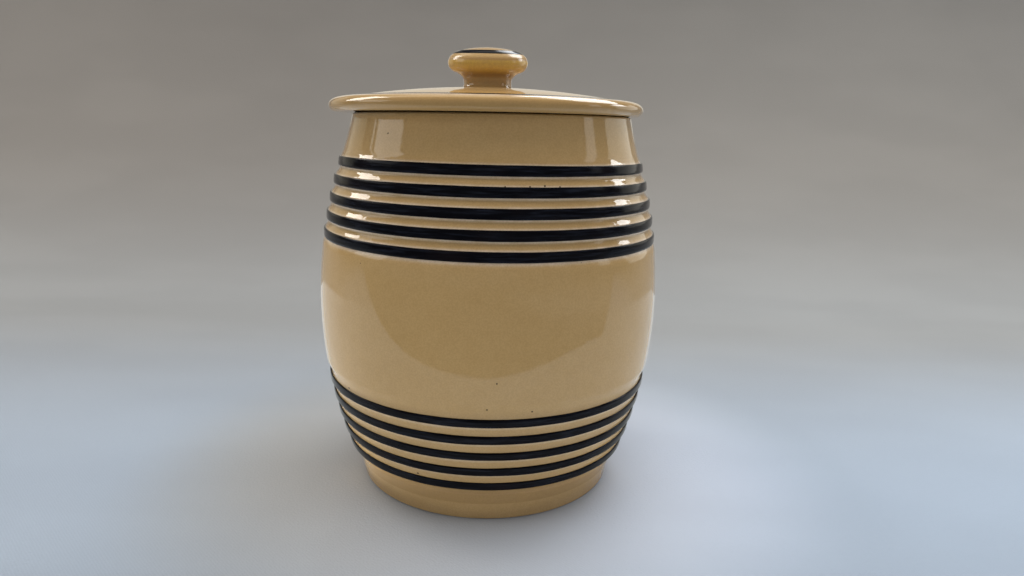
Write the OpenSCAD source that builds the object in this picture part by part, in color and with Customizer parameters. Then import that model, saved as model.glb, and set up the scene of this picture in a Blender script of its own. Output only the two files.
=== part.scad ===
// Banded earthenware biscuit jar with a loose knobbed lid. Millimetres, +Z up.
// The origin is the centre of the foot, on the surface that the jar stands on.
// Every piece is a true revolve of one outline: the right half of its section, with x as radius
// and y as height. Outlines run counter-clockwise, so the outside is on the right of each stretch.

/* [Jar] */
// Diameter at the widest point of the belly
belly_d = 155.2; // [150:0.2:160]
// Height of the widest point
belly_z = 84; // [82:1:86]
// Radius of the side's long curve above the widest point
upper_curve_r = 208; // [200:1:216]
// Radius of the side's long curve below the widest point
lower_curve_r = 197; // [192:1:204]
// Height of the rim that the lid rests on
rim_z = 166.7; // [165:0.1:168]
// Outside diameter at the rim
rim_d = 124; // [122:0.5:126]
// Diameter of the mouth
mouth_d = 114; // [113:0.5:115]
// Outside diameter of the foot
foot_d = 119.4; // [117:0.2:121]
// Thickness of the thrown wall
wall_t = 5; // [4.5:0.1:5.5]

/* [Bands] */
// Height from one band to the next
band_pitch = 7.72; // [7.6:0.02:7.8]
// Lower edge of the lowest band of the upper set
upper_bands_z = 113.3; // [113:0.1:114]
// Upper edge of the highest band of the lower set
lower_bands_z = 52; // [51.5:0.1:52.5]
// Height of each upper band
upper_band_h = 3.65; // [3.4:0.05:3.8]
// Height of each lower band
lower_band_h = 4.15; // [4:0.05:4.3]
// Depth of the coves between the bands, below the smooth side
cove_depth = 1.35; // [1.2:0.05:1.5]
// How far the middle of a band stands out of the smooth side
band_crown = 0.15; // [0.1:0.05:0.3]

/* [Lid] */
// Diameter of the lid
lid_d = 138.8; // [138:0.2:140]
// Thickness of the lid's rounded edge
lid_edge_t = 6.2; // [5.8:0.1:6.6]
// Height of the lid's dome above the rim of the jar
lid_rise = 11.6; // [11.3:0.1:12.3]
// Diameter of the flange that drops into the mouth
flange_d = 106.6; // [105:0.2:107]
// Depth of that flange
flange_depth = 8; // [6:0.5:9]
// Thickness of that flange
flange_t = 4; // [3.5:0.1:4.5]
// How far the loose lid sits off the jar's own axis
lid_shift = -2.5; // [-2.7:0.1:2.7]

/* [Knob] */
// Largest diameter of the knob's head
knob_d = 35.6; // [35:0.2:36.2]
// Diameter of its stem at the waist
stem_d = 21.4; // [20.8:0.2:21.8]
// Height of the knob above the lid's dome
knob_h = 17.6; // [17.3:0.1:18]

/* [Hidden] */

$fn = 240;
// How far a quarter of an ellipse this wide and high swells past its own chord
function quarter_bow(w, h) = (sqrt(2) - 1) * w * h / norm([w, h]);

// Glaze and slip
cream = "#e2d19b";
slip = "#20222b";

// Bands are counted from the top of each set. Both functions give a band's lower and upper edge
band_count = 5;
function span(z, h) = [z, z + h];
function upper_span(i) = span(upper_bands_z + (band_count - i) * band_pitch, upper_band_h);
function lower_span(i) = span(lower_bands_z - (i - 1) * band_pitch - lower_band_h, lower_band_h);

// Each band stands highest near its outer edge, the one away from the belly, and drops to a cove
// at its inner edge. These are the insets of the clay's edges at a band, below the smooth side
inner_inset = 0.9;
outer_inset = 0.3;
// A band's edges stand this far out of the clay's, and its seat lies this far below them
band_step = 0.15;
seat_t = 0.5;
band_bow = band_crown + (inner_inset + outer_inset) / 2 - band_step;
// A cove has a gentle flank on the inner band's side and a round floor at the next band
flank_share = 0.45;
flank_inset = 1;
flank_bow = 0.12;
floor_bow = cove_depth - (inner_inset + flank_inset) / 2;

// Coves on the belly's side of each set, which run out into the smooth side
upper_shoulder_h = 4.1;
upper_shoulder_hollow = 0.6;
lower_shoulder_h = 6;
lower_shoulder_hollow = 0.95;

// Plain neck above the bands and plain foot below them, each behind a cove of its own
neck_cove_h = 3.2;
neck_cove_hollow = 0.12;
neck_r = 65.8;
neck_hollow = 0.12;
foot_cove_h = 3.6;
foot_cove_hollow = 0.9;
foot_panel_r = 63;
foot_hollow = 0.4;
foot_edge_r = 1.3;

// Rim, inside and underside of the jar
mouth_r = mouth_d / 2;
rim_outer_w = 1.8;
rim_outer_h = 1.2;
rim_inner_r = 2;
floor_z = 8;
floor_corner = [8, 8];
floor_corner_bow = 2.2;
base_hollow_r = 51;
base_hollow_h = 2.4;
base_hollow_slope = 2;

// The lid's rounded edge, the dome inside it and the groove between them, which holds a slip band.
// The edge reaches furthest out below its middle, so its underside turns in more sharply
edge_nose_h = 2.7;
edge_under_w = 2.9;
dome_r = 59.5;
dome_start_z = rim_z + 6.5;
dome_z = rim_z + lid_rise;
dome_curve_r = (pow(dome_r, 2) + pow(dome_z - dome_start_z, 2)) / (2 * (dome_z - dome_start_z));
groove_w = 4;
lid_band_edge_t = 0.6;
lid_band_swell = 0.5;
lid_t = 5;
flange_r = flange_d / 2;

// Knob: a short stem on a flat pad at the top of the dome, which flares into a flattened head.
// Heights are above the pad
pad_r = 12;
stem_r = stem_d / 2;
stem_foot_w = 0.8;
stem_foot_h = 1.6;
stem_foot_hollow = 0.2;
stem_h = 3.4;
flare_w = 2.3;
flare_h = 6.3;
flare_hollow = 0.4;
head_under_inset = 0.9;
head_under_h = 8.6;
head_under_bow = 0.25;
shoulder_inset = 2.2;
shoulder_h = 15;
cap_r = 12.3;
cap_h = 1.4;
knob_seat_t = 0.45;
knob_band_swell = 0.3;

// ---- Curves ----

// Points along an arc from p to q, without q itself, which swells to the right of the straight
// line between them by this much, or is hollow where bow < 0
function arc(p, q, bow, steps = 8) =
    let (
        half = norm(q - p) / 2,
        r = (pow(half, 2) + pow(bow, 2)) / (2 * abs(bow)),
        right = [q.y - p.y, p.x - q.x] / (2 * half),
        centre = (p + q) / 2 + right * (bow - sign(bow) * r),
        start = atan2(p.y - centre.y, p.x - centre.x),
        turn = sign(bow) * 4 * atan(abs(bow) / half)
    )
    [for (i = [0:steps - 1]) centre + r * [cos(start + turn * i / steps), sin(start + turn * i / steps)]];

// Radius of the smooth side at a height, a point this far inside it, and a run of such points
function side_r(z) =
    let (r = z > belly_z ? upper_curve_r : lower_curve_r)
    belly_d / 2 - r + sqrt(pow(r, 2) - pow(z - belly_z, 2));
function side_point(z, inset) = [side_r(z) - inset, z];
function side_run(z0, z1, inset, steps) =
    [for (i = [0:steps]) side_point(z0 + (z1 - z0) * i / steps, inset)];
// Height above the belly at which the smooth side has this radius
function height_at(r) =
    belly_z + sqrt(pow(upper_curve_r, 2) - pow(r - belly_d / 2 + upper_curve_r, 2));

// A point of the lid's dome, this far below its top surface
function dome_point(r, inset) =
    [r, dome_z - dome_curve_r + sqrt(pow(dome_curve_r - inset, 2) - pow(r, 2))];
function dome_run(r0, r1, inset, steps) =
    [for (i = [0:steps]) dome_point(r0 + (r1 - r0) * i / steps, inset)];

// ---- Jar ----

// The lower and upper edge of something as high as a band, with its own inset at each. Going up,
// an upper band's inner edge comes first, and a lower band's outer edge does
function edges(span, is_upper, inner, outer) = [
    side_point(span[0], is_upper ? inner : outer),
    side_point(span[1], is_upper ? outer : inner),
];
function clay_edges(span, is_upper) = edges(span, is_upper, inner_inset, outer_inset);
function seat_edges(span, is_upper) = edges(span, is_upper, inner_inset + seat_t, outer_inset + seat_t);
function band_edges(span, is_upper) =
    edges(span, is_upper, inner_inset - band_step, outer_inset - band_step);

// The stretch of the jar's outline that holds a band, up to the start of the next cove
function seat(span, is_upper) = concat([clay_edges(span, is_upper)[0]], seat_edges(span, is_upper));

// The cove between the band below and the band above
function cove(below, above, is_upper) =
    let (
        start = clay_edges(below, is_upper)[1],
        end = clay_edges(above, is_upper)[0],
        share = is_upper ? flank_share : 1 - flank_share,
        turn = side_point(start.y + (end.y - start.y) * share, flank_inset)
    )
    concat(
        arc(start, turn, is_upper ? flank_bow : -floor_bow, 5),
        arc(turn, end, is_upper ? -floor_bow : flank_bow, 5)
    );

// Seats and the coves between them, from the lowest band of a set to its highest
function band_set(spans, is_upper) = [
    for (i = [0:len(spans) - 1])
        each concat(
            seat(spans[i], is_upper),
            i < len(spans) - 1 ? cove(spans[i], spans[i + 1], is_upper) : []
        )
];

function foot_outline() =
    let (
        cove_top_z = lower_span(band_count)[0],
        panel_top = [foot_panel_r, cove_top_z - foot_cove_h],
        edge_top = [foot_d / 2, foot_edge_r]
    )
    concat(
        arc([foot_d / 2 - foot_edge_r, 0], edge_top, quarter_bow(foot_edge_r, foot_edge_r), 5),
        arc(edge_top, panel_top, -foot_hollow),
        arc(panel_top, side_point(cove_top_z, outer_inset), -foot_cove_hollow)
    );

function belly_outline() =
    let (
        z0 = lower_bands_z + lower_shoulder_h,
        z1 = upper_bands_z - upper_shoulder_h
    )
    concat(
        arc(side_point(lower_bands_z, inner_inset), side_point(z0, 0), -lower_shoulder_hollow),
        side_run(z0, belly_z, 0, 6),
        side_run(belly_z + 1, z1 - 1, 0, 6),
        arc(side_point(z1, 0), side_point(upper_bands_z, inner_inset), -upper_shoulder_hollow)
    );

function neck_outline() =
    let (
        cove_z = upper_span(1)[1],
        panel_foot = [neck_r, cove_z + neck_cove_h],
        edge_foot = [rim_d / 2, rim_z - rim_outer_h],
        lip = [mouth_r + rim_inner_r, rim_z]
    )
    concat(
        arc(side_point(cove_z, outer_inset), panel_foot, -neck_cove_hollow, 4),
        arc(panel_foot, edge_foot, -neck_hollow, 6),
        arc(edge_foot, [rim_d / 2 - rim_outer_w, rim_z], quarter_bow(rim_outer_w, rim_outer_h), 5),
        [[rim_d / 2 - rim_outer_w, rim_z]],
        arc(lip, [mouth_r, rim_z - rim_inner_r], quarter_bow(rim_inner_r, rim_inner_r), 6)
    );

// Down the inside: a straight mouth, the side's own curves one wall in, and a round corner
function inside_outline() =
    let (
        mouth_foot_z = height_at(mouth_r + wall_t),
        corner_z = floor_z + floor_corner.y,
        corner_top = side_point(corner_z, wall_t)
    )
    concat(
        [[mouth_r, rim_z - rim_inner_r]],
        side_run(mouth_foot_z, belly_z, wall_t, 12),
        side_run(belly_z - 1, corner_z + 1, wall_t, 10),
        arc(corner_top, [corner_top.x - floor_corner.x, floor_z], floor_corner_bow, 8),
        [[corner_top.x - floor_corner.x, floor_z], [0, floor_z]]
    );

// The shallow dish under the jar leaves a ring to stand on
function base_outline() = [
    [0, base_hollow_h],
    [base_hollow_r - base_hollow_slope, base_hollow_h],
    [base_hollow_r, 0],
];

module jar_body() {
    color(cream)
        rotate_extrude()
            polygon(concat(
                foot_outline(),
                band_set([for (i = [band_count:-1:1]) lower_span(i)], false),
                belly_outline(),
                band_set([for (i = [band_count:-1:1]) upper_span(i)], true),
                neck_outline(),
                inside_outline(),
                base_outline()
            ));
}

// A band of thick slip: flat on its seat, with a swelling face
module side_band(span, is_upper) {
    seat = seat_edges(span, is_upper);
    edge = band_edges(span, is_upper);
    color(slip)
        rotate_extrude()
            polygon(concat([seat[1], seat[0]], arc(edge[0], edge[1], band_bow), [edge[1]]));
}

// ---- Lid and knob, drawn on the jar's axis ----

// The two ends of the groove's floor. Its outer wall ends at the top of the lid's edge, and its
// inner wall where the dome starts
groove_outer = [dome_r + groove_w, rim_z + lid_edge_t - lid_band_edge_t];
groove_inner = [dome_r, dome_start_z - lid_band_edge_t];

// A piece of the lid, revolved and set where the loose lid sits
module lid_revolve(tint, outline) {
    color(tint)
        translate([lid_shift, 0, 0])
            rotate_extrude()
                polygon(outline);
}

module lid() {
    flange_foot = [flange_r, rim_z - flange_depth + flange_t / 2];
    inner_wall_r = flange_r - flange_t;
    nose = [lid_d / 2, rim_z + edge_nose_h];
    edge_foot = nose - [edge_under_w, edge_nose_h];
    edge_top = groove_outer + [0, lid_band_edge_t];
    lid_revolve(cream, concat(
        arc([inner_wall_r, flange_foot.y], flange_foot, flange_t / 2),
        [flange_foot, [flange_r, rim_z]],
        arc(edge_foot, nose, quarter_bow(edge_under_w, edge_nose_h), 7),
        arc(nose, edge_top, quarter_bow(nose.x - edge_top.x, edge_top.y - nose.y), 9),
        [edge_top, groove_outer, groove_inner],
        dome_run(dome_r, pad_r, 0, 10),
        [[0, dome_point(pad_r, 0).y], dome_point(0, lid_t)],
        dome_run(inner_wall_r / 8, inner_wall_r, lid_t, 7)
    ));
}

module lid_band() {
    lift = [0, lid_band_edge_t];
    lid_revolve(slip, concat(
        [groove_inner, groove_outer],
        arc(groove_outer + lift, groove_inner + lift, lid_band_swell),
        [groove_inner + lift]
    ));
}

// Knob: points up its side, from the pad on the dome to the edge of its cap
pad_z = dome_point(pad_r, 0).y;
stem_foot = [stem_r + stem_foot_w, pad_z];
stem_top = [stem_r, pad_z + stem_h];
flare_top = [stem_r + flare_w, pad_z + flare_h];
head_edge = [knob_d / 2 - head_under_inset, pad_z + head_under_h];
head_shoulder = [knob_d / 2 - shoulder_inset, pad_z + shoulder_h];
cap_edge = [cap_r, dome_z + knob_h - cap_h];

module knob() {
    head_bow = knob_d / 2 - (head_edge.x + head_shoulder.x) / 2;
    lid_revolve(cream, concat(
        [[0, pad_z]],
        arc(stem_foot, [stem_r, pad_z + stem_foot_h], -stem_foot_hollow, 5),
        [[stem_r, pad_z + stem_foot_h]],
        arc(stem_top, flare_top, -flare_hollow, 7),
        arc(flare_top, head_edge, head_under_bow, 7),
        arc(head_edge, head_shoulder, head_bow, 10),
        [
            head_shoulder,
            head_shoulder - [knob_seat_t, 0],
            cap_edge - [0, knob_seat_t],
        ],
        arc(cap_edge, [0, dome_z + knob_h], cap_h / 4, 6),
        [[0, dome_z + knob_h]]
    ));
}

module knob_band() {
    lid_revolve(slip, concat(
        [cap_edge - [0, knob_seat_t], head_shoulder - [knob_seat_t, 0]],
        arc(head_shoulder, cap_edge, knob_band_swell),
        [cap_edge]
    ));
}

jar_body();
for (i = [1:band_count]) {
    side_band(upper_span(i), true);
    side_band(lower_span(i), false);
}
lid();
lid_band();
knob();
knob_band();
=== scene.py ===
"""Looks of the banded biscuit jar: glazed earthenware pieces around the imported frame.

The pot's lengths are written in millimetres, as it is drawn, and turned into metres when a mesh is
made. The stage, the lights and the camera are in metres. The origin is the centre of the foot, +Z
is up and the front of the jar faces -Y.
"""
import math

import bpy
import numpy as np
from mathutils import Matrix, Vector

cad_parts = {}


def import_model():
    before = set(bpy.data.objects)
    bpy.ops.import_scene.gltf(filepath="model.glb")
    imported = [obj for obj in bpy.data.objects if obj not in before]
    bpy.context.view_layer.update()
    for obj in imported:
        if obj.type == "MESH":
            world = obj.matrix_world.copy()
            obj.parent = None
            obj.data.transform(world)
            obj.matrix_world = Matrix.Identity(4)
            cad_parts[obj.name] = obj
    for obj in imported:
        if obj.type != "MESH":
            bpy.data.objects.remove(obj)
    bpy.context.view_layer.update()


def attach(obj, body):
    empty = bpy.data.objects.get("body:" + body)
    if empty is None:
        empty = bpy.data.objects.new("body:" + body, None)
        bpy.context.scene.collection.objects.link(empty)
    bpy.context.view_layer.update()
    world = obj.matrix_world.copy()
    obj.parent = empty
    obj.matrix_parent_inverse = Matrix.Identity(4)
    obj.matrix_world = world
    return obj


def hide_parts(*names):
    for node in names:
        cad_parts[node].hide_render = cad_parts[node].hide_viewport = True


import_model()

MM = 0.001
SEGMENTS = 288          # columns round every lathed piece

# ---- Shape of the jar, in mm ----
BELLY_R, BELLY_Z = 77.6, 84.0
UPPER_CURVE_R, LOWER_CURVE_R = 208.0, 197.0
RIM_Z, RIM_R, MOUTH_R = 166.7, 62.0, 57.0
WALL_T = 5.0
BAND_COUNT, BAND_PITCH = 5, 7.72
UPPER_BANDS_Z, UPPER_BAND_H = 113.3, 3.65     # lower edge of the lowest upper band
LOWER_BANDS_Z, LOWER_BAND_H = 52.0, 4.15      # upper edge of the highest lower band
INNER_INSET, OUTER_INSET = 0.9, 0.3           # clay below the smooth side at a band's two edges
BAND_CROWN = 0.15                             # top of a band above the smooth side
COVE_DEPTH = 1.35
UPPER_SHOULDER_H, LOWER_SHOULDER_H = 4.1, 6.0
# Glaze in the hollow between two bands, going up: share of the height, and inset in mm
UPPER_COVE = [(0.07, 0.36), (0.22, 0.68), (0.42, 1.10), (0.58, 1.32), (0.68, 1.33), (0.84, 1.08)]
LOWER_COVE = [(0.16, 0.86), (0.34, 0.88), (0.58, 0.74), (0.80, 0.50)]
UPPER_SAG, LOWER_SAG = 0.45, 0.65             # how far the slip's edges slumped before it stiffened
NECK_COVE_H, NECK_COVE_HOLLOW, NECK_R, NECK_HOLLOW = 3.2, 0.12, 65.8, 0.12
FOOT_R, FOOT_EDGE_R, FOOT_PANEL_R = 59.7, 1.3, 63.0
FOOT_COVE_H, FOOT_COVE_HOLLOW, FOOT_HOLLOW = 3.6, 0.9, 0.4
RIM_OUTER_W, RIM_OUTER_H, RIM_INNER_R = 1.8, 1.2, 2.0
FLOOR_Z, FLOOR_CORNER, FLOOR_CORNER_BOW = 8.0, 8.0, 2.2
BASE_HOLLOW_R, BASE_HOLLOW_H, BASE_HOLLOW_SLOPE = 51.0, 2.4, 2.0

# ---- Shape of the lid and knob, in mm ----
LID_X = -2.5                                  # the loose lid sits off the jar's axis
LID_R, LID_TOP_Z, NOSE_Z, EDGE_UNDER_W = 69.4, 172.9, 169.4, 2.9
DOME_Z, DOME_R, DOME_START_Z = 178.3, 59.5, 173.2
GROOVE_W, LID_BAND_EDGE_T = 4.0, 0.6
LID_T, FLANGE_R, FLANGE_DEPTH, FLANGE_T = 5.0, 53.3, 8.0, 4.0
PAD_R, PAD_Z = 12.0, 178.09                   # flat pad on the dome, under the knob
# Points up the knob's side: radius and height above the pad
KNOB_SIDE = [
    (11.5, 0.0), (10.75, 1.2), (10.7, 3.2), (11.2, 4.7), (13.1, 6.3), (15.6, 7.5), (17.3, 9.3),
    (17.8, 11.3), (17.2, 13.4), (15.6, 15.0),
]
CAP_R, CAP_Z, TOP_Z = 12.3, 194.5, 195.9      # edge and top of the knob's cap
KNOB_LEAN, KNOB_LEAN_DROP = 0.075, 0.2        # the head leans towards the front, and sits lower
KNOB_LEAN_Z = (3.2, 9.3)                      # heights above the pad between which the lean grows
SEAT_TILT = 0.0075                            # rim and lid are a little higher towards +X
SEAT_TILT_Z = 150.0                           # the jar is true below this

# ---- Irregularities of a hand-finished pot, in mm ----
OVAL, LOBES, SHRINK = 0.05, 0.02, 0.03        # two- and three-sided waves, and least shortfall
BAND_WAVER, LID_BAND_WANDER, LID_BAND_WAVE = 0.11, 0.12, 0.07
KNOB_BAND_WANDER, KNOB_BAND_WAVE = 0.06, 0.05
LID_BAND_RISE, KNOB_BAND_RISE = 0.42, 0.22    # how far these two bands stand up
AXIS_FADE_R = 40                              # the waves fade out from here to the axis

QUARTER_BOW = 1 - math.cos(math.pi / 4)       # bow of a quarter circle, as a share of its radius


# ---- Curves ----

def arc(p, q, bow, step=0.3):
    """Points along an arc from p to q, without q, swelling to the right by bow."""
    p, q = np.array(p, float), np.array(q, float)
    half = np.linalg.norm(q - p) / 2
    radius = (half ** 2 + bow ** 2) / (2 * abs(bow))
    right = np.array([q[1] - p[1], p[0] - q[0]]) / (2 * half)
    centre = (p + q) / 2 + right * (bow - math.copysign(radius, bow))
    start = math.atan2(p[1] - centre[1], p[0] - centre[0])
    turn = math.copysign(4 * math.atan(abs(bow) / half), bow)
    count = max(4, math.ceil(abs(turn) * radius / step))
    return [
        (centre[0] + radius * math.cos(start + turn * i / count),
         centre[1] + radius * math.sin(start + turn * i / count))
        for i in range(count)
    ]


def line(p, q, step=1.0):
    """Points along a straight line from p to q, without q."""
    count = max(1, math.ceil(math.dist(p, q) / step))
    return [
        (p[0] + (q[0] - p[0]) * i / count, p[1] + (q[1] - p[1]) * i / count)
        for i in range(count)
    ]


def side_r(z):
    """Radius of the smooth side at a height."""
    radius = UPPER_CURVE_R if z > BELLY_Z else LOWER_CURVE_R
    return BELLY_R - radius + math.sqrt(radius ** 2 - (z - BELLY_Z) ** 2)


def side_point(z, inset):
    return (side_r(z) - inset, z)


def side_run(z0, z1, inset, step=1.0):
    count = max(2, math.ceil(abs(z1 - z0) / step))
    return [side_point(z0 + (z1 - z0) * i / count, inset) for i in range(count + 1)]


def ellipse(centre, width, height, start, end, step=0.25):
    """Points along an ellipse's edge between two angles in degrees, without the last."""
    start, end = math.radians(start), math.radians(end)
    count = max(4, math.ceil(abs(end - start) * max(width, height) / step))
    return [
        (centre[0] + width * math.cos(start + (end - start) * i / count),
         centre[1] + height * math.sin(start + (end - start) * i / count))
        for i in range(count)
    ]


def smooth(points, step=0.25):
    """A smooth curve through the points, without the last (Catmull-Rom)."""
    pts = [np.array(p, float) for p in points]
    pts = [2 * pts[0] - pts[1], *pts, 2 * pts[-1] - pts[-2]]
    run = []
    for a, b, c, d in zip(pts, pts[1:], pts[2:], pts[3:]):
        count = max(2, math.ceil(np.linalg.norm(c - b) / step))
        for i in range(count):
            t = i / count
            run.append(tuple(0.5 * (2 * b + (c - a) * t + (2 * a - 5 * b + 4 * c - d) * t ** 2
                                    + (3 * b - a - 3 * c + d) * t ** 3)))
    return run


def upper_span(i):
    z = UPPER_BANDS_Z + (BAND_COUNT - i) * BAND_PITCH
    return z, z + UPPER_BAND_H


def lower_span(i):
    z = LOWER_BANDS_Z - (i - 1) * BAND_PITCH
    return z - LOWER_BAND_H, z


def insets(is_upper):
    """Inset of the clay at a band's lower and upper edge."""
    return (INNER_INSET, OUTER_INSET) if is_upper else (OUTER_INSET, INNER_INSET)


# ---- Outlines: (radius, height), counter-clockwise, so the outside is on the right ----

def cove(below, above, is_upper):
    low, high = insets(is_upper)
    start, end = below[1], above[0]
    between = UPPER_COVE if is_upper else LOWER_COVE
    points = [side_point(start + (end - start) * share, inset) for share, inset in between]
    return smooth([side_point(start, high), *points, side_point(end, low)], 0.2)


def band_set(span_of, is_upper):
    low, high = insets(is_upper)
    points = []
    for i in range(BAND_COUNT, 0, -1):
        span = span_of(i)
        points += line(side_point(span[0], low), side_point(span[1], high), 0.6)
        points += cove(span, span_of(i - 1), is_upper) if i > 1 else []
    return points


def foot_outline():
    cove_top = lower_span(BAND_COUNT)[0]
    panel_top = (FOOT_PANEL_R, cove_top - FOOT_COVE_H)
    edge_top = (FOOT_R, FOOT_EDGE_R)
    return (
        arc((FOOT_R - FOOT_EDGE_R, 0), edge_top, FOOT_EDGE_R * QUARTER_BOW, 0.2)
        + arc(edge_top, panel_top, -FOOT_HOLLOW, 0.6)
        + arc(panel_top, side_point(cove_top, OUTER_INSET), -FOOT_COVE_HOLLOW, 0.25)
    )


def lower_shoulder_inset(share):
    """Inset above the lower bands: hollow beside the band, then a soft edge to the side."""
    if share < 0.2:
        return INNER_INSET
    rest = (share - 0.2) / 0.8
    return INNER_INSET * (0.7 * (1 + math.cos(math.pi * rest)) / 2 + 0.3 * (1 - rest))


def upper_shoulder_inset(share):
    """Inset below the upper bands: the side turns in smoothly as it comes up to the band."""
    return INNER_INSET * share ** 2.3


def belly_outline():
    z0, z1 = LOWER_BANDS_Z + LOWER_SHOULDER_H, UPPER_BANDS_Z - UPPER_SHOULDER_H
    shares = [i / 26 for i in range(26)]
    return (
        [side_point(LOWER_BANDS_Z + LOWER_SHOULDER_H * k, lower_shoulder_inset(k)) for k in shares]
        + side_run(z0, z1 - 0.5, 0, 0.9)
        + [side_point(z1 + UPPER_SHOULDER_H * k, upper_shoulder_inset(k)) for k in shares]
    )


def neck_outline():
    cove_z = upper_span(1)[1]
    panel_foot = (NECK_R, cove_z + NECK_COVE_H)
    edge_foot = (RIM_R, RIM_Z - RIM_OUTER_H)
    edge_top = (RIM_R - RIM_OUTER_W, RIM_Z)
    lip = (MOUTH_R + RIM_INNER_R, RIM_Z)
    return (
        arc(side_point(cove_z, OUTER_INSET), panel_foot, -NECK_COVE_HOLLOW, 0.4)
        + arc(panel_foot, edge_foot, -NECK_HOLLOW, 0.8)
        + ellipse((edge_top[0], edge_foot[1]), RIM_OUTER_W, RIM_OUTER_H, 0, 90, 0.15)
        + line(edge_top, lip, 1.5)
        + arc(lip, (MOUTH_R, RIM_Z - RIM_INNER_R), RIM_INNER_R * QUARTER_BOW, 0.4)
    )


def inside_outline():
    mouth_foot_z = BELLY_Z + math.sqrt(
        UPPER_CURVE_R ** 2 - (MOUTH_R + WALL_T - BELLY_R + UPPER_CURVE_R) ** 2)
    corner_top = side_point(FLOOR_Z + FLOOR_CORNER, WALL_T)
    corner_foot = (corner_top[0] - FLOOR_CORNER, FLOOR_Z)
    return (
        line((MOUTH_R, RIM_Z - RIM_INNER_R), (MOUTH_R, mouth_foot_z + 1), 1.5)
        + side_run(mouth_foot_z, FLOOR_Z + FLOOR_CORNER + 1, WALL_T, 2.5)
        + arc(corner_top, corner_foot, FLOOR_CORNER_BOW, 0.8)
        + line(corner_foot, (0, FLOOR_Z), 5.0)
        + [(0, FLOOR_Z)]
    )


def base_outline():
    inner = (BASE_HOLLOW_R - BASE_HOLLOW_SLOPE, BASE_HOLLOW_H)
    ring = (BASE_HOLLOW_R, 0)
    soft = 0.8
    return (
        [(0, BASE_HOLLOW_H)]
        + line((1.0, BASE_HOLLOW_H), (inner[0] - soft, inner[1]), 5.0)
        + arc((inner[0] - soft, inner[1]), (inner[0] + soft, inner[1] - soft), -0.25, 0.3)
        + arc((ring[0] - 0.5, 0.6), (ring[0] + 0.4, 0.0), 0.15, 0.2)
        + line((ring[0] + 0.4, 0.0), (FOOT_R - FOOT_EDGE_R, 0), 1.2)
    )


def jar_outline():
    return (
        foot_outline() + band_set(lower_span, False) + belly_outline()
        + band_set(upper_span, True) + neck_outline() + inside_outline() + base_outline()
    )


def dome_point(r, inset=0.0):
    radius = (DOME_R ** 2 + (DOME_Z - DOME_START_Z) ** 2) / (2 * (DOME_Z - DOME_START_Z))
    return (r, DOME_Z - radius + math.sqrt((radius - inset) ** 2 - r ** 2))


def lid_outline():
    wall_r = FLANGE_R - FLANGE_T
    foot_z = RIM_Z - FLANGE_DEPTH + FLANGE_T / 2
    crest_r = DOME_R + GROOVE_W
    groove_outer = (crest_r - 0.3, LID_TOP_Z - LID_BAND_EDGE_T)
    groove_inner = (DOME_R, DOME_START_Z - LID_BAND_EDGE_T)
    soft = 0.5
    under = [dome_point(wall_r - 1.5 - (wall_r - 1.5) * i / 14, LID_T) for i in range(15)]
    return (
        arc((wall_r, foot_z), (FLANGE_R, foot_z), FLANGE_T / 2, 0.35)
        + line((FLANGE_R, foot_z), (FLANGE_R, RIM_Z - soft), 1.5)
        + arc((FLANGE_R, RIM_Z - soft), (FLANGE_R + soft, RIM_Z), -soft * QUARTER_BOW, 0.2)
        + line((FLANGE_R + soft, RIM_Z), (LID_R - EDGE_UNDER_W, RIM_Z), 1.5)
        + ellipse((LID_R - EDGE_UNDER_W, NOSE_Z), EDGE_UNDER_W, NOSE_Z - RIM_Z, -90, 0)
        + ellipse((crest_r, NOSE_Z), LID_R - crest_r, LID_TOP_Z - NOSE_Z, 0, 90)
        + line((crest_r, LID_TOP_Z), groove_outer, 0.3)
        + line(groove_outer, groove_inner, 0.8)
        + line(groove_inner, dome_point(DOME_R - 0.2), 0.3)
        + [dome_point(DOME_R - 0.2 - (DOME_R - 0.2) * i / 60) for i in range(60)]
        + [dome_point(0)]
        + under[::-1]
        + arc(under[0], (wall_r, under[0][1] - 2.2), -0.35, 0.4)
        + line((wall_r, under[0][1] - 2.2), (wall_r, foot_z), 1.5)
    )


def knob_outline():
    side = [(r, PAD_Z + z) for r, z in KNOB_SIDE]
    sunk = 0.5
    return (
        [(0, PAD_Z - sunk), (side[0][0] + 0.3, PAD_Z - sunk)]
        + smooth(side)
        + line(side[-1], (CAP_R, CAP_Z), 0.3)
        + arc((CAP_R, CAP_Z), (0, TOP_Z), 0.4, 0.5)
        + [(0, TOP_Z)]
    )


def bead_outline(p, q, height, sunk=0.35, power=3.6, count=26):
    """A strip of slip from p to q: a rounded face this high on its right, and a sunk back."""
    p, q = np.array(p, float), np.array(q, float)
    along = q - p
    right = np.array([along[1], -along[0]]) / np.linalg.norm(along)
    face = []
    for i in range(count + 1):
        t = (1 - math.cos(math.pi * i / count)) / 2
        rise = height * (1 - abs(2 * t - 1) ** power) ** (1 / power)
        face.append(tuple(p + along * t + right * rise))
    back = [tuple(q - right * sunk - along * 0.04), tuple(p - right * sunk + along * 0.04)]
    return face + back


# ---- Meshes ----

def ripple(angle, seed, waves=(2, 3, 5, 8, 13)):
    """A smooth closed wave round a pot, within -1 and 1, that differs with the seed."""
    total = np.zeros_like(angle)
    for k, wave in enumerate(waves):
        total += np.sin(wave * angle + seed * (k + 1.7) * 2.39) / (k + 1.6)
    return total / 1.75


def thrown(angle, z):
    """How far a hand-finished pot falls short of a true circle here, in mm."""
    oval = OVAL * (1 + np.sin(2 * angle + 0.9))
    lobes = LOBES * (1 + np.sin(3 * angle + z / 31))
    return oval + lobes + SHRINK


def blend(value, low, high):
    """0 below low, 1 above high and smooth between them."""
    t = min(1.0, max(0.0, (value - low) / (high - low)))
    return t * t * (3 - 2 * t)


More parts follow.
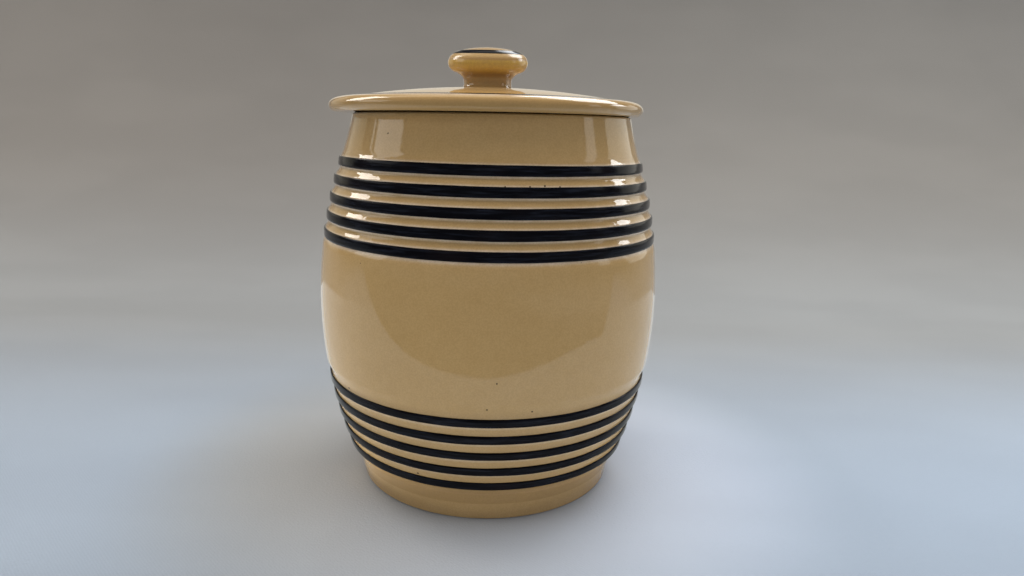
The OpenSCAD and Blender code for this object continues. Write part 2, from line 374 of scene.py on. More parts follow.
def rim_wave(angle, r, z):
    """The rim's tilt: the jar's mouth is a little higher towards +X."""
    return 0 * angle, SEAT_TILT * r * np.cos(angle) * blend(z, SEAT_TILT_Z, RIM_Z)


def lid_wave(angle, r, z):
    """The lid lies on the rim, so it shares its tilt."""
    return 0 * angle, SEAT_TILT * (LID_X + r * np.cos(angle))


def knob_wave(angle, r, z):
    """The knob's head leans towards the front, above its stem."""
    share = blend(z, PAD_Z + KNOB_LEAN_Z[0], PAD_Z + KNOB_LEAN_Z[1])
    lean = share * (KNOB_LEAN * r * np.sin(angle) - KNOB_LEAN_DROP)
    return 0 * angle, lean + lid_wave(angle, r, z)[1]


def lathe(name, outline, centre_x=0.0, wave=None, masks=None):
    """A closed revolve of an outline, with its small irregularities, as an object in metres.

    wave(angle, r, z) gives what is added to each point's radius and height. masks gives named
    values from (r, z) that the materials read.
    """
    points = np.array(outline)
    angle = np.arange(SEGMENTS) * 2 * math.pi / SEGMENTS
    verts, rings, values = [], [], []
    for r, z in points:
        start = len(verts)
        if r < 1e-6:
            verts.append((centre_x * MM, 0.0, z * MM))
            values.append((r, z))
            rings.append([start] * SEGMENTS)
            continue
        add_r, add_z = wave(angle, r, z) if wave else (0 * angle, 0 * angle)
        radius = r - thrown(angle, z) * min(1.0, r / AXIS_FADE_R) + add_r
        xs = (centre_x + radius * np.cos(angle)) * MM
        ys = radius * np.sin(angle) * MM
        zs = (z + add_z) * MM
        verts += list(zip(xs, ys, zs))
        values += [(r, z)] * SEGMENTS
        rings.append(list(range(start, start + SEGMENTS)))
    faces = []
    for j in range(len(rings)):
        low, high = rings[j], rings[(j + 1) % len(rings)]
        for i in range(SEGMENTS):
            k = (i + 1) % SEGMENTS
            corners = list(dict.fromkeys((low[i], low[k], high[k], high[i])))
            if len(corners) > 2:
                faces.append(corners)
    mesh = bpy.data.meshes.new(name)
    mesh.from_pydata(verts, [], faces)
    mesh.shade_smooth()
    for mask, rule in (masks or {}).items():
        layer = mesh.attributes.new(mask, "FLOAT", "POINT")
        layer.data.foreach_set("value", [float(rule(r, z)) for r, z in values])
    mesh.update()
    piece = bpy.data.objects.new(name, mesh)
    bpy.context.scene.collection.objects.link(piece)
    return piece


# ---- Materials ----

class Tree:
    """Short calls for building a node tree."""

    def __init__(self, owner):
        owner.use_nodes = True
        self.tree = owner.node_tree
        self.tree.nodes.clear()

    def node(self, kind, inputs=None, **settings):
        made = self.tree.nodes.new(kind)
        for key, value in settings.items():
            setattr(made, key, value)
        for key, value in (inputs or {}).items():
            self.set(made.inputs[key], value)
        return made

    def set(self, socket, value):
        if isinstance(value, bpy.types.NodeSocket):
            self.tree.links.new(value, socket)
        else:
            socket.default_value = value

    def math(self, operation, a, b=0.0):
        return self.node("ShaderNodeMath", {0: a, 1: b}, operation=operation).outputs[0]

    def vector(self, operation, a, b=(0.0, 0.0, 0.0), output=0):
        return self.node("ShaderNodeVectorMath", {0: a, 1: b}, operation=operation).outputs[output]

    def place(self):
        """Where a point is on its piece, in metres, whatever the pose."""
        return self.node("ShaderNodeTexCoord").outputs["Object"]

    def surface(self, inputs):
        """Ends the tree with a Principled shader."""
        shader = self.node("ShaderNodeBsdfPrincipled", inputs)
        self.node("ShaderNodeOutputMaterial", {"Surface": shader.outputs[0]})

    def ramp(self, value, low, high, to_low=0.0, to_high=1.0, smooth=True):
        """to_low up to low, to_high from high on, and a smooth or straight change between them."""
        kind = "SMOOTHSTEP" if smooth else "LINEAR"
        made = self.node("ShaderNodeMapRange", {0: value, 1: low, 2: high, 3: to_low, 4: to_high},
                         interpolation_type=kind, clamp=True)
        return made.outputs[0]

    def mix(self, factor, a, b):
        """Colour a at factor 0, and colour b at 1."""
        made = self.node("ShaderNodeMix", data_type="RGBA")
        self.set(made.inputs["Factor"], factor)
        for socket, colour in zip(made.inputs[6:8], (a, b)):      # its two colour sockets
            self.set(socket, colour if isinstance(colour, bpy.types.NodeSocket) else (*colour, 1))
        return made.outputs[2]

    def noise(self, place, scale, detail=2.0, roughness=0.5):
        made = self.node("ShaderNodeTexNoise", {
            "Vector": place, "Scale": scale, "Detail": detail, "Roughness": roughness})
        return made.outputs[0]

    def mask(self, name):
        """A named value that lathe() gave to the points, or 0 where it gave none."""
        return self.node("ShaderNodeAttribute", attribute_name=name).outputs["Fac"]

    def bump(self, height, distance, strength=1.0, under=None):
        made = self.node("ShaderNodeBump", {
            "Height": height, "Distance": distance, "Strength": strength})
        if under is not None:
            self.set(made.inputs["Normal"], under)
        return made.outputs[0]


# The glaze over its cream body, by how deep it lies; the thin colour also paints highlights and
# reflections
GLAZE_THIN_AND_SHEEN, GLAZE_PLAIN = (0.780, 0.630, 0.480), (0.505, 0.328, 0.142)
GLAZE_POOLED, GLAZE_HONEY = (0.395, 0.243, 0.098), (0.570, 0.368, 0.086)
GLAZE_MOTTLE, GLAZE_GRAIN = (0.455, 0.285, 0.112), (0.270, 0.165, 0.062)
# Painted shade for the seat between rim and lid, and the iron of the specks
SEAT_SHADE_BROWN, IRON = (0.060, 0.036, 0.018), (0.040, 0.022, 0.010)
CLAY_DARK, CLAY_PALE = (0.44, 0.33, 0.21), (0.60, 0.48, 0.34)
SLIP_BLACK, SLIP_BLUE_SHEEN = (0.0035, 0.0035, 0.0050), (0.014, 0.016, 0.024)
SLIP_BROWN = (0.012, 0.008, 0.009)

# Iron specks that show on the front of the jar, in mm: x, z, radius
SPECKS = [
    (2.6, 55.9, 0.34), (20.0, 54.3, 0.34), (6.2, 67.1, 0.30), (-25.8, 21.4, 0.42),
    (-56.6, 52.6, 0.34), (16.5, 140.3, 0.30), (22.0, 140.6, 0.34), (7.4, 140.2, 0.26),
    (27.7, 140.3, 0.28), (-38.2, 158.0, 0.26),
]

# Cloth colours at the left and the right, painted with light and shade: paler on the right where
# light falls, paler close to the jar over its shadow, darker further back and where it rises
CLOTH_FLOOR = (0.290, 0.334, 0.395), (0.352, 0.420, 0.515)
CLOTH_CLOSE_PAINTED_LIGHT = (0.320, 0.310, 0.285), (0.590, 0.665, 0.810)      # close to the jar: painted light over its shadow, paler on the right and warmer on the left
CLOTH_FAR_PAINTED_SHADE = (0.240, 0.244, 0.246), (0.275, 0.282, 0.285)
CLOTH_RISE_PAINTED_SHADE = (0.190, 0.178, 0.165), (0.228, 0.216, 0.200)
CLOTH_THREAD = (0.15, 0.15, 0.15)

# Cards that are seen only in the glaze
PALE_CARD = (0.45, 0.48, 0.50), (0.50, 0.53, 0.55)
DARK_CARD = (0.030, 0.026, 0.022), (0.045, 0.040, 0.034)
DARK_CARD_RIGHT = (0.240, 0.235, 0.220)                         # what it fades to on the right


def iron_specks(t, place):
    """1 on a speck: a few in every square inch, and the known ones."""
    cells = t.node("ShaderNodeTexVoronoi", {"Vector": place, "Scale": 105.0}, feature="F1")
    lot = t.node("ShaderNodeSeparateColor", {0: cells.outputs["Color"]}).outputs[0]
    chosen = t.math("GREATER_THAN", lot, 0.80)
    speck = t.math("MULTIPLY", t.ramp(cells.outputs["Distance"], 0.030, 0.012), chosen)
    flat = t.vector("MULTIPLY", place, (1.0, 0.0, 1.0))
    for x, z, radius in SPECKS:
        gap = t.vector("DISTANCE", flat, (x * MM, 0.0, z * MM), "Value")
        speck = t.math("MAXIMUM", speck, t.ramp(gap, radius * 1.4 * MM, radius * 0.8 * MM))
    return speck


def bare_clay(t, place):
    """1 on the foot ring's bare clay, with the glaze's edge a little uneven."""
    waver = t.math("MULTIPLY", t.math("SUBTRACT", t.noise(place, 90.0, 3.0), 0.5), 0.7)
    return t.ramp(t.math("ADD", t.mask("bare"), waver), 0.45, 0.6)


def glaze_colour(t, place, speck):
    cloud = t.noise(place, 22.0, 3.0, 0.55)
    mottle = t.noise(place, 190.0, 3.0, 0.6)
    fine = t.noise(place, 1500.0, 2.0, 0.6)
    waver = t.math("MULTIPLY", t.math("SUBTRACT", cloud, 0.5), 0.35)
    # How deep the glaze lies, read from a mask that also holds painted shade and painted light
    depth = t.math("ADD", t.mask("pool_and_painted_light"), waver)
    colour = t.mix(t.ramp(depth, 0.0, 1.0), GLAZE_PLAIN, GLAZE_POOLED)
    colour = t.mix(t.ramp(depth, 0.9, 1.3), colour, GLAZE_HONEY)
    # Paler where the glaze runs thin and where highlights and reflections are painted
    colour = t.mix(t.ramp(depth, 0.0, -1.0), colour, GLAZE_THIN_AND_SHEEN)
    colour = t.mix(t.ramp(mottle, 0.35, 0.75, 0.0, 0.35), colour, GLAZE_MOTTLE)
    # Painted shade in the seat where the lid rests on the rim
    colour = t.mix(t.ramp(depth, 1.8, 2.3), colour, SEAT_SHADE_BROWN)
    colour = t.mix(t.ramp(fine, 0.35, 0.65, 0.0, 0.20), colour, GLAZE_GRAIN)
    return t.mix(t.math("MULTIPLY", speck, 0.9), colour, IRON)


def glaze_relief(t, place, clay, grain, speck):
    """A slow swell, tooled ridges between the bands, orange peel, gritty clay and sunk specks."""
    ridges = t.math("MULTIPLY", t.noise(place, 210.0, 1.0, 0.5), t.mask("tooled"))
    normal = t.bump(t.noise(place, 70.0, 2.0, 0.5), 0.00010, 0.4)
    normal = t.bump(ridges, 0.00016, 1.0, normal)
    normal = t.bump(t.noise(place, 620.0, 2.0, 0.5), 0.000016, 1.0, normal)
    normal = t.bump(t.math("MULTIPLY", grain, clay), 0.00012, 1.0, normal)
    return t.bump(t.math("MULTIPLY", speck, -1.0), 0.00008, 1.0, normal)


def glaze_roughness(t, place, clay):
    rough = t.ramp(t.noise(place, 45.0, 4.0, 0.6), 0.3, 0.7, 0.04, 0.075)
    rough = t.math("ADD", rough, t.math("MULTIPLY", clay, 0.6))
    return t.math("ADD", rough, t.math("MULTIPLY", t.mask("satin"), 0.10))


def glaze_material():
    """Clear glaze over a cream body: deeper where it pools, pinker where it runs thin, with painted
    shade and painted highlights and reflections carried by the same mask.
    """
    material = bpy.data.materials.new("cream_glaze_finish")
    t = Tree(material)
    place = t.place()
    speck = iron_specks(t, place)
    clay = bare_clay(t, place)
    grain = t.noise(place, 900.0, 4.0, 0.7)
    body = t.mix(t.ramp(grain, 0.3, 0.7), CLAY_DARK, CLAY_PALE)
    t.surface({
        "Base Color": t.mix(clay, glaze_colour(t, place, speck), body),
        "Roughness": glaze_roughness(t, place, clay),
        "Normal": glaze_relief(t, place, clay, grain, speck),
        "IOR": 1.58,
    })
    return material


def slip_material():
    """Thick blue-black slip under the glaze, brushed on as the pot turned, with bluer streaks that
    also paint a streaky sheen.
    """
    material = bpy.data.materials.new("dark_slip_finish")
    t = Tree(material)
    place = t.place()
    streak = t.noise(t.vector("MULTIPLY", place, (1.0, 1.0, 14.0)), 75.0, 4.0, 0.65)
    patch = t.noise(place, 55.0, 3.0, 0.5)
    # Bluer streaks: brushed slip and a painted streaky sheen
    colour = t.mix(t.ramp(streak, 0.42, 0.75), SLIP_BLACK, SLIP_BLUE_SHEEN)
    colour = t.mix(t.ramp(patch, 0.52, 0.78, 0.0, 0.5), colour, SLIP_BROWN)
    normal = t.bump(streak, 0.00006, 0.6)
    normal = t.bump(t.noise(place, 700.0, 2.0, 0.5), 0.000016, 1.0, normal)
    t.surface({
        "Base Color": colour,
        "Roughness": t.ramp(streak, 0.3, 0.75, 0.09, 0.20),
        "Normal": normal,
        "IOR": 1.5,
        "Specular IOR Level": 0.09,
    })
    return material


def cloth_painted_light(t, place):
    """Painted light and shade: cooler and paler on the floor, darker and warmer where it rises,
    paler on the right, and paler close to the jar over its shadow.
    """
    axes = t.node("ShaderNodeSeparateXYZ", {0: place}).outputs
    side = t.ramp(axes[0], -0.30, 0.30, smooth=False)
    near_side = t.ramp(axes[0], -0.14, 0.16, smooth=False)
    floor, far, rise = (t.mix(side, *pair) for pair in (CLOTH_FLOOR, CLOTH_FAR_PAINTED_SHADE, CLOTH_RISE_PAINTED_SHADE))
    gap = t.vector("LENGTH", place, output="Value")
    # Close to the jar: painted light over its shadow
    floor = t.mix(t.ramp(gap, 0.08, 0.18), t.mix(near_side, *CLOTH_CLOSE_PAINTED_LIGHT), floor)
    tint = t.mix(t.ramp(axes[1], -0.05, 0.26), floor, far)
    return t.mix(t.ramp(axes[1], 0.30, 0.65), tint, rise)


def cloth_material():
    """Plain pale cloth with painted light and shade, painted soft shading and a fine weave."""
    material = bpy.data.materials.new("stage_cloth")
    t = Tree(material)
    place = t.place()
    tint = cloth_painted_light(t, place)
    turned = t.node("ShaderNodeMapping", {
        "Vector": place, "Rotation": (0, 0, 0.6), "Scale": (0.45, 1.0, 1.0)}).outputs[0]
    # Painted soft shading: a little darker in broad patches
    soft = t.ramp(t.noise(turned, 11.0, 2.0, 0.5), 0.35, 0.65)
    colour = t.mix(soft, tint, t.mix(0.05, tint, (0.0, 0.0, 0.0)))
    threads = t.node("ShaderNodeTexWave", {
        "Vector": place, "Scale": 420.0, "Distortion": 3.0, "Detail": 2.0},
        bands_direction="DIAGONAL").outputs["Fac"]
    colour = t.mix(t.math("MULTIPLY", threads, 0.06), colour, CLOTH_THREAD)
    weave = t.noise(place, 900.0, 2.0, 0.6)
    t.surface({
        "Base Color": colour,
        "Roughness": 0.9,
        "Normal": t.bump(weave, 0.0004, 0.5),
        "Specular IOR Level": 0.2,
    })
    return material


def card_material(name, colours, nap_scale, right=None):
    """Matt card, mottled between two colours, that may fade to another on the right."""
    material = bpy.data.materials.new(name)
    t = Tree(material)
    place = t.place()
    colour = t.mix(t.ramp(t.noise(place, nap_scale, 2.0, 0.5), 0.3, 0.7), *colours)
    if right:
        across = t.node("ShaderNodeSeparateXYZ", {0: place}).outputs[0]
        colour = t.mix(t.ramp(across, 0.15, 0.60), colour, right)
    t.surface({"Base Color": colour, "Roughness": 0.95, "Specular IOR Level": 0.0})
    return material


# ---- Pieces ----

THIN_AND_SHEEN_BELOW, THIN_AND_SHEEN_ABOVE = 1.4, 0.7    # how far below and above a band the glaze runs thin and a pale reflection is painted, in mm
INSIDE_DEPTH = 3.5                   # a point this far below the smooth side is on the inside
WALL_Z = (8.0, 150.0)                # heights between which the outside has coves
BARE_H = 0.45                        # how far up the foot ring is bare
LOWER_TOOLED = 0.4                   # how uneven the glaze is between the lower bands
OUTER_EDGE_Z, OUTER_DOME_Z = 171, 175    # above these a point is on the lid's outside
# Heights above the pad between which the mask changes: from stem to head, from head to cap, and
# from glossy stem to satin head
HEAD_FROM, CAP_FROM, SATIN_FROM = (4.5, 7.5), (11.5, 15.0), (5.0, 9.0)
# Values of the mask of pooled and thin glaze, which also carries painted shade and painted light
SEAT_PAINTED_SHADE = 2.5                     # painted shade in the seat between rim and lid
UPPER_POOL, LOWER_POOL = 0.15, 0.8   # in the coves
THIN_AND_SHEEN_OVER, THIN_AND_SHEEN_LOWER = 0.7, 0.5     # pale above an upper band and below a lower one: thin glaze and painted reflection
# On the lid: pooled glaze beside the band, a painted highlight with thin glaze on the crest,
# painted shade on the side, and painted light round the pad
LID_GROOVE_POOL, LID_CREST_THIN_AND_HIGHLIGHT, LID_NOSE_PAINTED_SHADE, PAD_PAINTED_LIGHT = 0.6, -0.6, 0.85, -0.3
# On the knob: pooled glaze on stem and head, and the cap's edge pale with thin glaze and a painted
# reflection
STEM_POOL, HEAD_POOL, CAP_THIN_AND_SHEEN = 0.7, 0.6, -1.5


def fading(gap, reach):
    """1 beside a band, falling off with the distance from its edge."""
    return math.exp(-(gap / reach) ** 2) if gap > -0.2 else 0.0


def pool_and_painted_light_mask(r, z):
    """1 where glaze gathers, in coves and corners, below 0 beside a band where the glaze runs thin
    and a pale reflection is painted, and high in the rim's seat for painted shade.
    """
    if z > RIM_Z - 0.35 and r > MOUTH_R + 1.5:                # the rim's flat top, painted in shade where the lid sits
        return SEAT_PAINTED_SHADE
    depth = side_r(z) - r
    if depth > INSIDE_DEPTH or not WALL_Z[0] < z < WALL_Z[1]:
        return 0.0
    gathered = (UPPER_POOL if z > BELLY_Z else LOWER_POOL) * blend(depth, 0.6, COVE_DEPTH)
    spans = [span_of(i) for span_of in (upper_span, lower_span) for i in range(1, BAND_COUNT + 1)]
    below = max(fading(low - z, THIN_AND_SHEEN_BELOW) for low, _ in spans)
    above = max(fading(z - high, THIN_AND_SHEEN_ABOVE) for _, high in spans)
    # Pale beside the bands: thin glaze and painted reflection
    thin_and_sheen = max(below, THIN_AND_SHEEN_OVER * above) if z > BELLY_Z else THIN_AND_SHEEN_LOWER * below
    return gathered * (1 - thin_and_sheen) - thin_and_sheen


def bare_mask(r, z):
    """1 where the foot ring was wiped clean of glaze."""
    return 1.0 if z < BARE_H and r > BASE_HOLLOW_R - 1 else 0.0


def tooled_mask(r, z):
    """1 where the bands were laid and the glaze between them is uneven."""
    if side_r(z) - r > INSIDE_DEPTH:
        return 0.0
    top = upper_span(1)[1]
    upper = blend(z, UPPER_BANDS_Z - 2, UPPER_BANDS_Z + 1) * blend(-z, -top - 4, -top - 1)
    lower = blend(-z, -LOWER_BANDS_Z - 2, -LOWER_BANDS_Z + 1) * blend(z, 14, 16)
    return upper + LOWER_TOOLED * lower


def jar_shell(glaze):
    piece = lathe("jar_shell", jar_outline(), wave=rim_wave,
                  masks={"pool_and_painted_light": pool_and_painted_light_mask, "bare": bare_mask, "tooled": tooled_mask})
    piece.data.materials.append(glaze)
    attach(piece, "jar")
    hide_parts("jar_body")
    return piece


def side_bead(node, span, is_upper, seed, slip):
    low, high = insets(is_upper)
    height = (low + high) / 2 + BAND_CROWN
    span = (span[0] - UPPER_SAG, span[1]) if is_upper else (span[0], span[1] - LOWER_SAG)
    outline = bead_outline(side_point(span[0], low), side_point(span[1], high), height)
    middle, half = (span[0] + span[1]) / 2, (span[1] - span[0]) / 2

    def wave(angle, r, z):
        side = (z - middle) / half
        edge = ripple(angle, seed + (0.5 if side > 0 else 0.0), (3, 7, 11, 19, 31))
        return 0 * angle, BAND_WAVER * edge * abs(side)

    piece = lathe(node + "_bead", outline, wave=wave)
    piece.data.materials.append(slip)
    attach(piece, "jar")
    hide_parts(node)
    return piece


def lid_shell(glaze):
    def pool_and_painted_light(r, z):
        if abs(z - RIM_Z) < 0.05 and MOUTH_R < r < RIM_R + 0.5:     # where it rests on the rim: painted shade in the seat
            return SEAT_PAINTED_SHADE
        if DOME_R - 1.5 < r < DOME_R + 3 and z > OUTER_EDGE_Z:      # beside the band
            return LID_GROOVE_POOL
        if r > DOME_R + 3.3 and z > LID_TOP_Z - 1.1:                # the top of the edge: thin glaze and a painted highlight
            return LID_CREST_THIN_AND_HIGHLIGHT * blend(z, LID_TOP_Z - 1.0, LID_TOP_Z - 0.4)
        if r > LID_R - 3:                                           # the side of the edge, darkened with painted shade
            return LID_NOSE_PAINTED_SHADE * blend(-z, -LID_TOP_Z + 0.6, -LID_TOP_Z + 2.4)
        # Paler round the pad: painted light against the knob's dark reflection in the dome
        return PAD_PAINTED_LIGHT * math.exp(-((r - PAD_R - 3) / 8) ** 2) if z > OUTER_DOME_Z else 0.0

    piece = lathe("lid_shell", lid_outline(), LID_X, lid_wave, {"pool_and_painted_light": pool_and_painted_light})
    piece.data.materials.append(glaze)
    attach(piece, "lid")
    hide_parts("lid")
    return piece


def lid_ring(slip):
    p = (DOME_R + 3.2, LID_TOP_Z - 0.2)
    q = (DOME_R + 0.15, DOME_START_Z - 0.1)

    def wave(angle, r, z):
        wander = ripple(angle, 4.3, (3, 5, 9, 14, 23))
        wave_z = LID_BAND_WAVE * ripple(angle, 8.1, (2, 5, 9, 17))
        return LID_BAND_WANDER * wander, wave_z + lid_wave(angle, r, z)[1]

    piece = lathe("lid_ring", bead_outline(p, q, LID_BAND_RISE), LID_X, wave)
    piece.data.materials.append(slip)
    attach(piece, "lid")
    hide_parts("lid_band")
    return piece


def knob_shape(glaze):
    def pool_and_painted_light(r, z):
        above = z - PAD_Z
        # The cap's edge is pale with thin glaze and a painted reflection
        return STEM_POOL + HEAD_POOL * blend(above, *HEAD_FROM) + CAP_THIN_AND_SHEEN * blend(above, *CAP_FROM)

    def satin(r, z):
        return blend(z - PAD_Z, *SATIN_FROM)

    piece = lathe("knob_shape", knob_outline(), LID_X, knob_wave, {"pool_and_painted_light": pool_and_painted_light, "satin": satin})
    piece.data.materials.append(glaze)
    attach(piece, "lid")
    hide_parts("knob")
    return piece


def knob_ring(slip):
    p = (KNOB_SIDE[-1][0], PAD_Z + KNOB_SIDE[-1][1])
    q = (CAP_R + 0.1, CAP_Z)

    def wave(angle, r, z):
        wave_z = KNOB_BAND_WAVE * ripple(angle, 2.9)
        return KNOB_BAND_WANDER * ripple(angle, 6.7), knob_wave(angle, r, z)[1] + wave_z

    piece = lathe("knob_ring", bead_outline(p, q, KNOB_BAND_RISE), LID_X, wave)
    piece.data.materials.append(slip)
    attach(piece, "lid")
    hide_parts("knob_band")
    return piece


# ---- Stage, light and camera ----

# Soft boxes and panels that face the jar: azimuth from the front (-Y) towards +X and elevation in
# degrees, distance, width and height in metres, radiance, tint, and roll in degrees
FILLS = {           # light the jar and aren't seen in the glaze
    "overhead_box": (180, 85, 1.6, 2.2, 1.7, 2.7, (1.0, 0.985, 0.96)),
    "front_fill": (-5, 18, 1.6, 1.5, 1.2, 0.55),
    "right_fill": (62, 22, 1.6, 1.0, 0.8, 1.5, (1.0, 0.98, 0.96)),
    "left_fill": (-68, 22, 1.6, 1.0, 0.8, 1.95, (1.0, 1.0, 0.97)),
}
WINDOWS = {         # light the jar and are seen in the glaze
    "left_window": (-119, 37, 1.2, 0.34, 0.60, 6.5, (1.0, 0.94, 0.86), 30),
    "right_window": (118, 29, 1.3, 0.36, 0.22, 6.0, (0.95, 0.98, 1.0)),
    "high_window": (139, 47, 1.35, 0.60, 0.56, 5.0, (0.95, 0.98, 1.0)),
    "back_window": (166, 38, 1.45, 0.36, 0.55, 5.5, (0.95, 0.98, 1.0)),
}
REFLECTORS = {      # are seen in the glaze and add no light of their own
    "back_glow": (180, 16.5, 0.62, 0.62, 0.20, 0.42, (1.0, 0.98, 0.86)),
    "soft_ceiling": (180, 62, 1.6, 2.4, 0.60, 0.8, (1.0, 0.985, 0.94)),
    "left_panel": (-85.5, 24, 1.5, 0.66, 0.58, 1.4, (1.0, 0.98, 0.93)),
    "left_gleam": (-102.5, 24, 1.5, 0.05, 0.58, 1.2, (1.0, 0.98, 0.90)),
    "left_wall": (-130, 15, 0.9, 0.52, 0.48, 0.30, (1.0, 0.95, 0.72)),
    "right_streak": (84, 22, 1.5, 0.24, 0.70, 1.05, (1.0, 0.98, 0.95), -12),
    "right_wall": (123, 13, 0.95, 0.72, 0.50, 0.95, (1.0, 0.98, 0.88)),
}
# The bright cloth round the jar's front, as lights that face up from the floor: the middle's x,
# the near and far y, the width, all in metres, and the radiance
BOUNCE_CARDS = {
    "bounce_card": (-0.10, -0.105, -0.193, 0.82, 0.68),
    "foot_card": (-0.05, -0.061, -0.105, 0.60, 0.14),
    "foot_card_left": (-0.125, -0.02, -0.10, 0.13, 3.2),
    "foot_card_right": (0.135, -0.01, -0.09, 0.13, 1.5),
}
BOUNCE_TINT, BOUNCE_Z = (0.97, 1.0, 0.96), 0.003
LIGHTS_AIM = (0, 0, 0.10)
ROOM_DIM, ROOM_SEEN = (0.09, 0.088, 0.085), (0.30, 0.295, 0.285)

# The back edge of the dark card on the floor, from left to right: x and y in metres
FLAG_EDGE = [
    (-2.0, -0.150), (-0.508, -0.163), (-0.244, -0.172), (-0.044, -0.192), (0.100, -0.193),
    (0.200, -0.176), (0.260, -0.142), (0.300, -0.097), (2.0, -0.060),
]
FLAG_FRONT, FLAG_Z = -2.6, 0.006
RING_RADII, RING_SIDES, RING_Z = (0.0615, 0.075, 0.10, 0.14, 0.20, 0.32, 0.50), 72, 0.003

# The camera, solved from the photo
CAMERA_LENS, CAMERA_SENSOR = 24.59, 36.0
CAMERA_PLACE, CAMERA_TILT, CAMERA_ROLL = (0.0109, -0.3254, 0.1606), 77.24, 1.56


def flat_mesh(name, verts, faces, material):
    mesh = bpy.data.meshes.new(name)
    mesh.from_pydata(verts, [], faces)
    mesh.shade_smooth()
    mesh.materials.append(material)
    made = bpy.data.objects.new(name, mesh)
    bpy.context.scene.collection.objects.link(made)
    return made


def sweep():
    """A plain cloth that runs flat under the jar and sweeps up behind it."""
    front, back, half_width, top, bend = -3.0, 0.75, 3.0, 0.62, 0.45
    section = [(front, 0.0), (-0.6, 0.0), (0.0, 0.0), (back - bend, 0.0)]
    section += [
        (back - bend + bend * math.sin(a), bend - bend * math.cos(a))
        for a in (math.pi / 2 * i / 24 for i in range(1, 25))
    ]
    section.append((back, top))
    xs = [-half_width, -1.0, 0.0, 1.0, half_width]
    verts = [(x, y, z) for y, z in section for x in xs]
    width = len(xs)
    faces = [
        (j * width + i, j * width + i + 1, (j + 1) * width + i + 1, (j + 1) * width + i)
        for j in range(len(section) - 1) for i in range(width - 1)
    ]
    flat_mesh("cloth_sweep", verts, faces, cloth_material())


def seen_in_glaze_only(card):
    """Hides a card from everything but glossy rays."""
    card.visible_camera = False
    card.visible_diffuse = False
    card.visible_shadow = False
    card.visible_transmission = False


def front_flag():
    """A dark card low in front of the jar, seen only in the glaze, as a dark room would be."""
    verts = [(x, y, FLAG_Z) for x, y in FLAG_EDGE] + [(x, FLAG_FRONT, FLAG_Z) for x, _ in FLAG_EDGE]
    count = len(FLAG_EDGE)
    faces = [(i, i + 1, count + i + 1, count + i) for i in range(count - 1)]
    card = card_material("flag_card", DARK_CARD, 40.0, DARK_CARD_RIGHT)
    seen_in_glaze_only(flat_mesh("front_flag", verts, faces, card))


def pale_ring():
    """A pale card round the foot, seen only in the glaze, as bright cloth would be."""
    sides = RING_SIDES
    turns = [2 * math.pi * i / sides for i in range(sides)]
    verts = [(r * math.cos(a), r * math.sin(a), RING_Z) for r in RING_RADII for a in turns]
    faces = [
        (j * sides + i, (j + 1) * sides + i,
         (j + 1) * sides + (i + 1) % sides, j * sides + (i + 1) % sides)
        for j in range(len(RING_RADII) - 1) for i in range(sides)
    ]
    card = card_material("pale_card", PALE_CARD, 30.0)
    seen_in_glaze_only(flat_mesh("pale_ring", verts, faces, card))


def rectangle_lamp(name, width, height, radiance, tint):
    """A rectangular light of a radiance, which the camera doesn't see."""
    data = bpy.data.lights.new(name, "AREA")
    data.shape, data.size, data.size_y = "RECTANGLE", width, height
    data.energy = radiance * math.pi * width * height
    data.color = tint
    lamp = bpy.data.objects.new(name, data)
    lamp.visible_camera = False
    bpy.context.scene.collection.objects.link(lamp)
    return lamp


def facing_light(
        name, azimuth, elevation, distance, width, height, radiance, tint=(1, 1, 1), roll=0):
    """A light that faces the jar."""
    az, el = math.radians(azimuth), math.radians(elevation)
    direction = Vector((math.sin(az) * math.cos(el), -math.cos(az) * math.cos(el), math.sin(el)))
    turn = direction.to_track_quat("Z", "Y").to_matrix().to_4x4()
    turn = turn @ Matrix.Rotation(math.radians(roll), 4, "Z")
    lamp = rectangle_lamp(name, width, height, radiance, tint)
    lamp.matrix_world = Matrix.Translation(Vector(LIGHTS_AIM) + direction * distance) @ turn
    return lamp


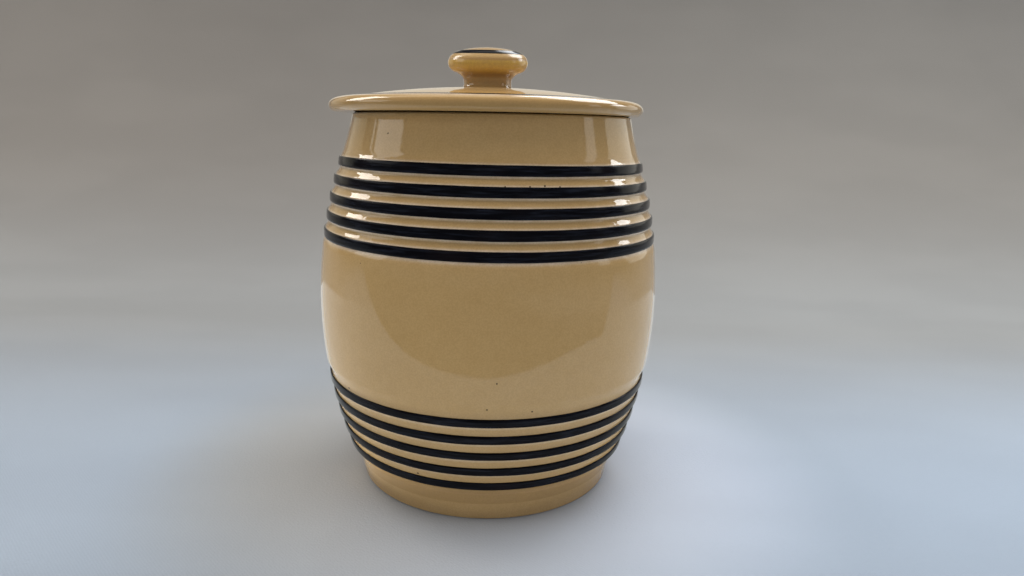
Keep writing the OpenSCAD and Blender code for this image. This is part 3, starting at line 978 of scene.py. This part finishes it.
def bounce_card(name, x, near, far, width, radiance):
    """Light from the bright cloth in front of the jar, which isn't seen in the glaze."""
    lamp = rectangle_lamp(name, width, near - far, radiance, BOUNCE_TINT)
    lamp.location = (x, (near + far) / 2, BOUNCE_Z)
    lamp.rotation_euler = (math.pi, 0, 0)
    lamp.visible_glossy = False


def lights():
    """Every light in the tables above."""
    for name, place in BOUNCE_CARDS.items():
        bounce_card(name, *place)
    for name, place in FILLS.items():
        facing_light(name, *place).visible_glossy = False
    for name, place in WINDOWS.items():
        facing_light(name, *place)
    for name, place in REFLECTORS.items():
        facing_light(name, *place).visible_diffuse = False


def world():
    """A dim room that is pale only where the camera sees it."""
    made = bpy.data.worlds.new("dim_room")
    bpy.context.scene.world = made
    t = Tree(made)
    seen = t.node("ShaderNodeLightPath").outputs["Is Camera Ray"]
    colour = t.mix(seen, ROOM_DIM, ROOM_SEEN)
    background = t.node("ShaderNodeBackground", {"Color": colour, "Strength": 1.0})
    t.node("ShaderNodeOutputWorld", {"Surface": background.outputs[0]})


def camera():
    data = bpy.data.cameras.new("camera")
    data.lens, data.sensor_width = CAMERA_LENS, CAMERA_SENSOR
    data.clip_start, data.clip_end = 0.01, 50.0
    made = bpy.data.objects.new("camera", data)
    tilt = Matrix.Rotation(math.radians(CAMERA_TILT), 4, "X")
    roll = Matrix.Rotation(math.radians(CAMERA_ROLL), 4, "Z")
    made.matrix_world = Matrix.Translation(CAMERA_PLACE) @ tilt @ roll
    bpy.context.scene.collection.objects.link(made)
    bpy.context.scene.camera = made


glaze, slip = glaze_material(), slip_material()
jar_shell(glaze)
for number in range(1, BAND_COUNT + 1):
    side_bead(f"upper_band_{number}", upper_span(number), True, number * 1.31, slip)
    side_bead(f"lower_band_{number}", lower_span(number), False, number * 2.17 + 9, slip)
lid_shell(glaze)
lid_ring(slip)
knob_shape(glaze)
knob_ring(slip)
sweep()
front_flag()
pale_ring()
lights()
world()
camera()
bpy.context.scene.view_settings.view_transform = "Standard"
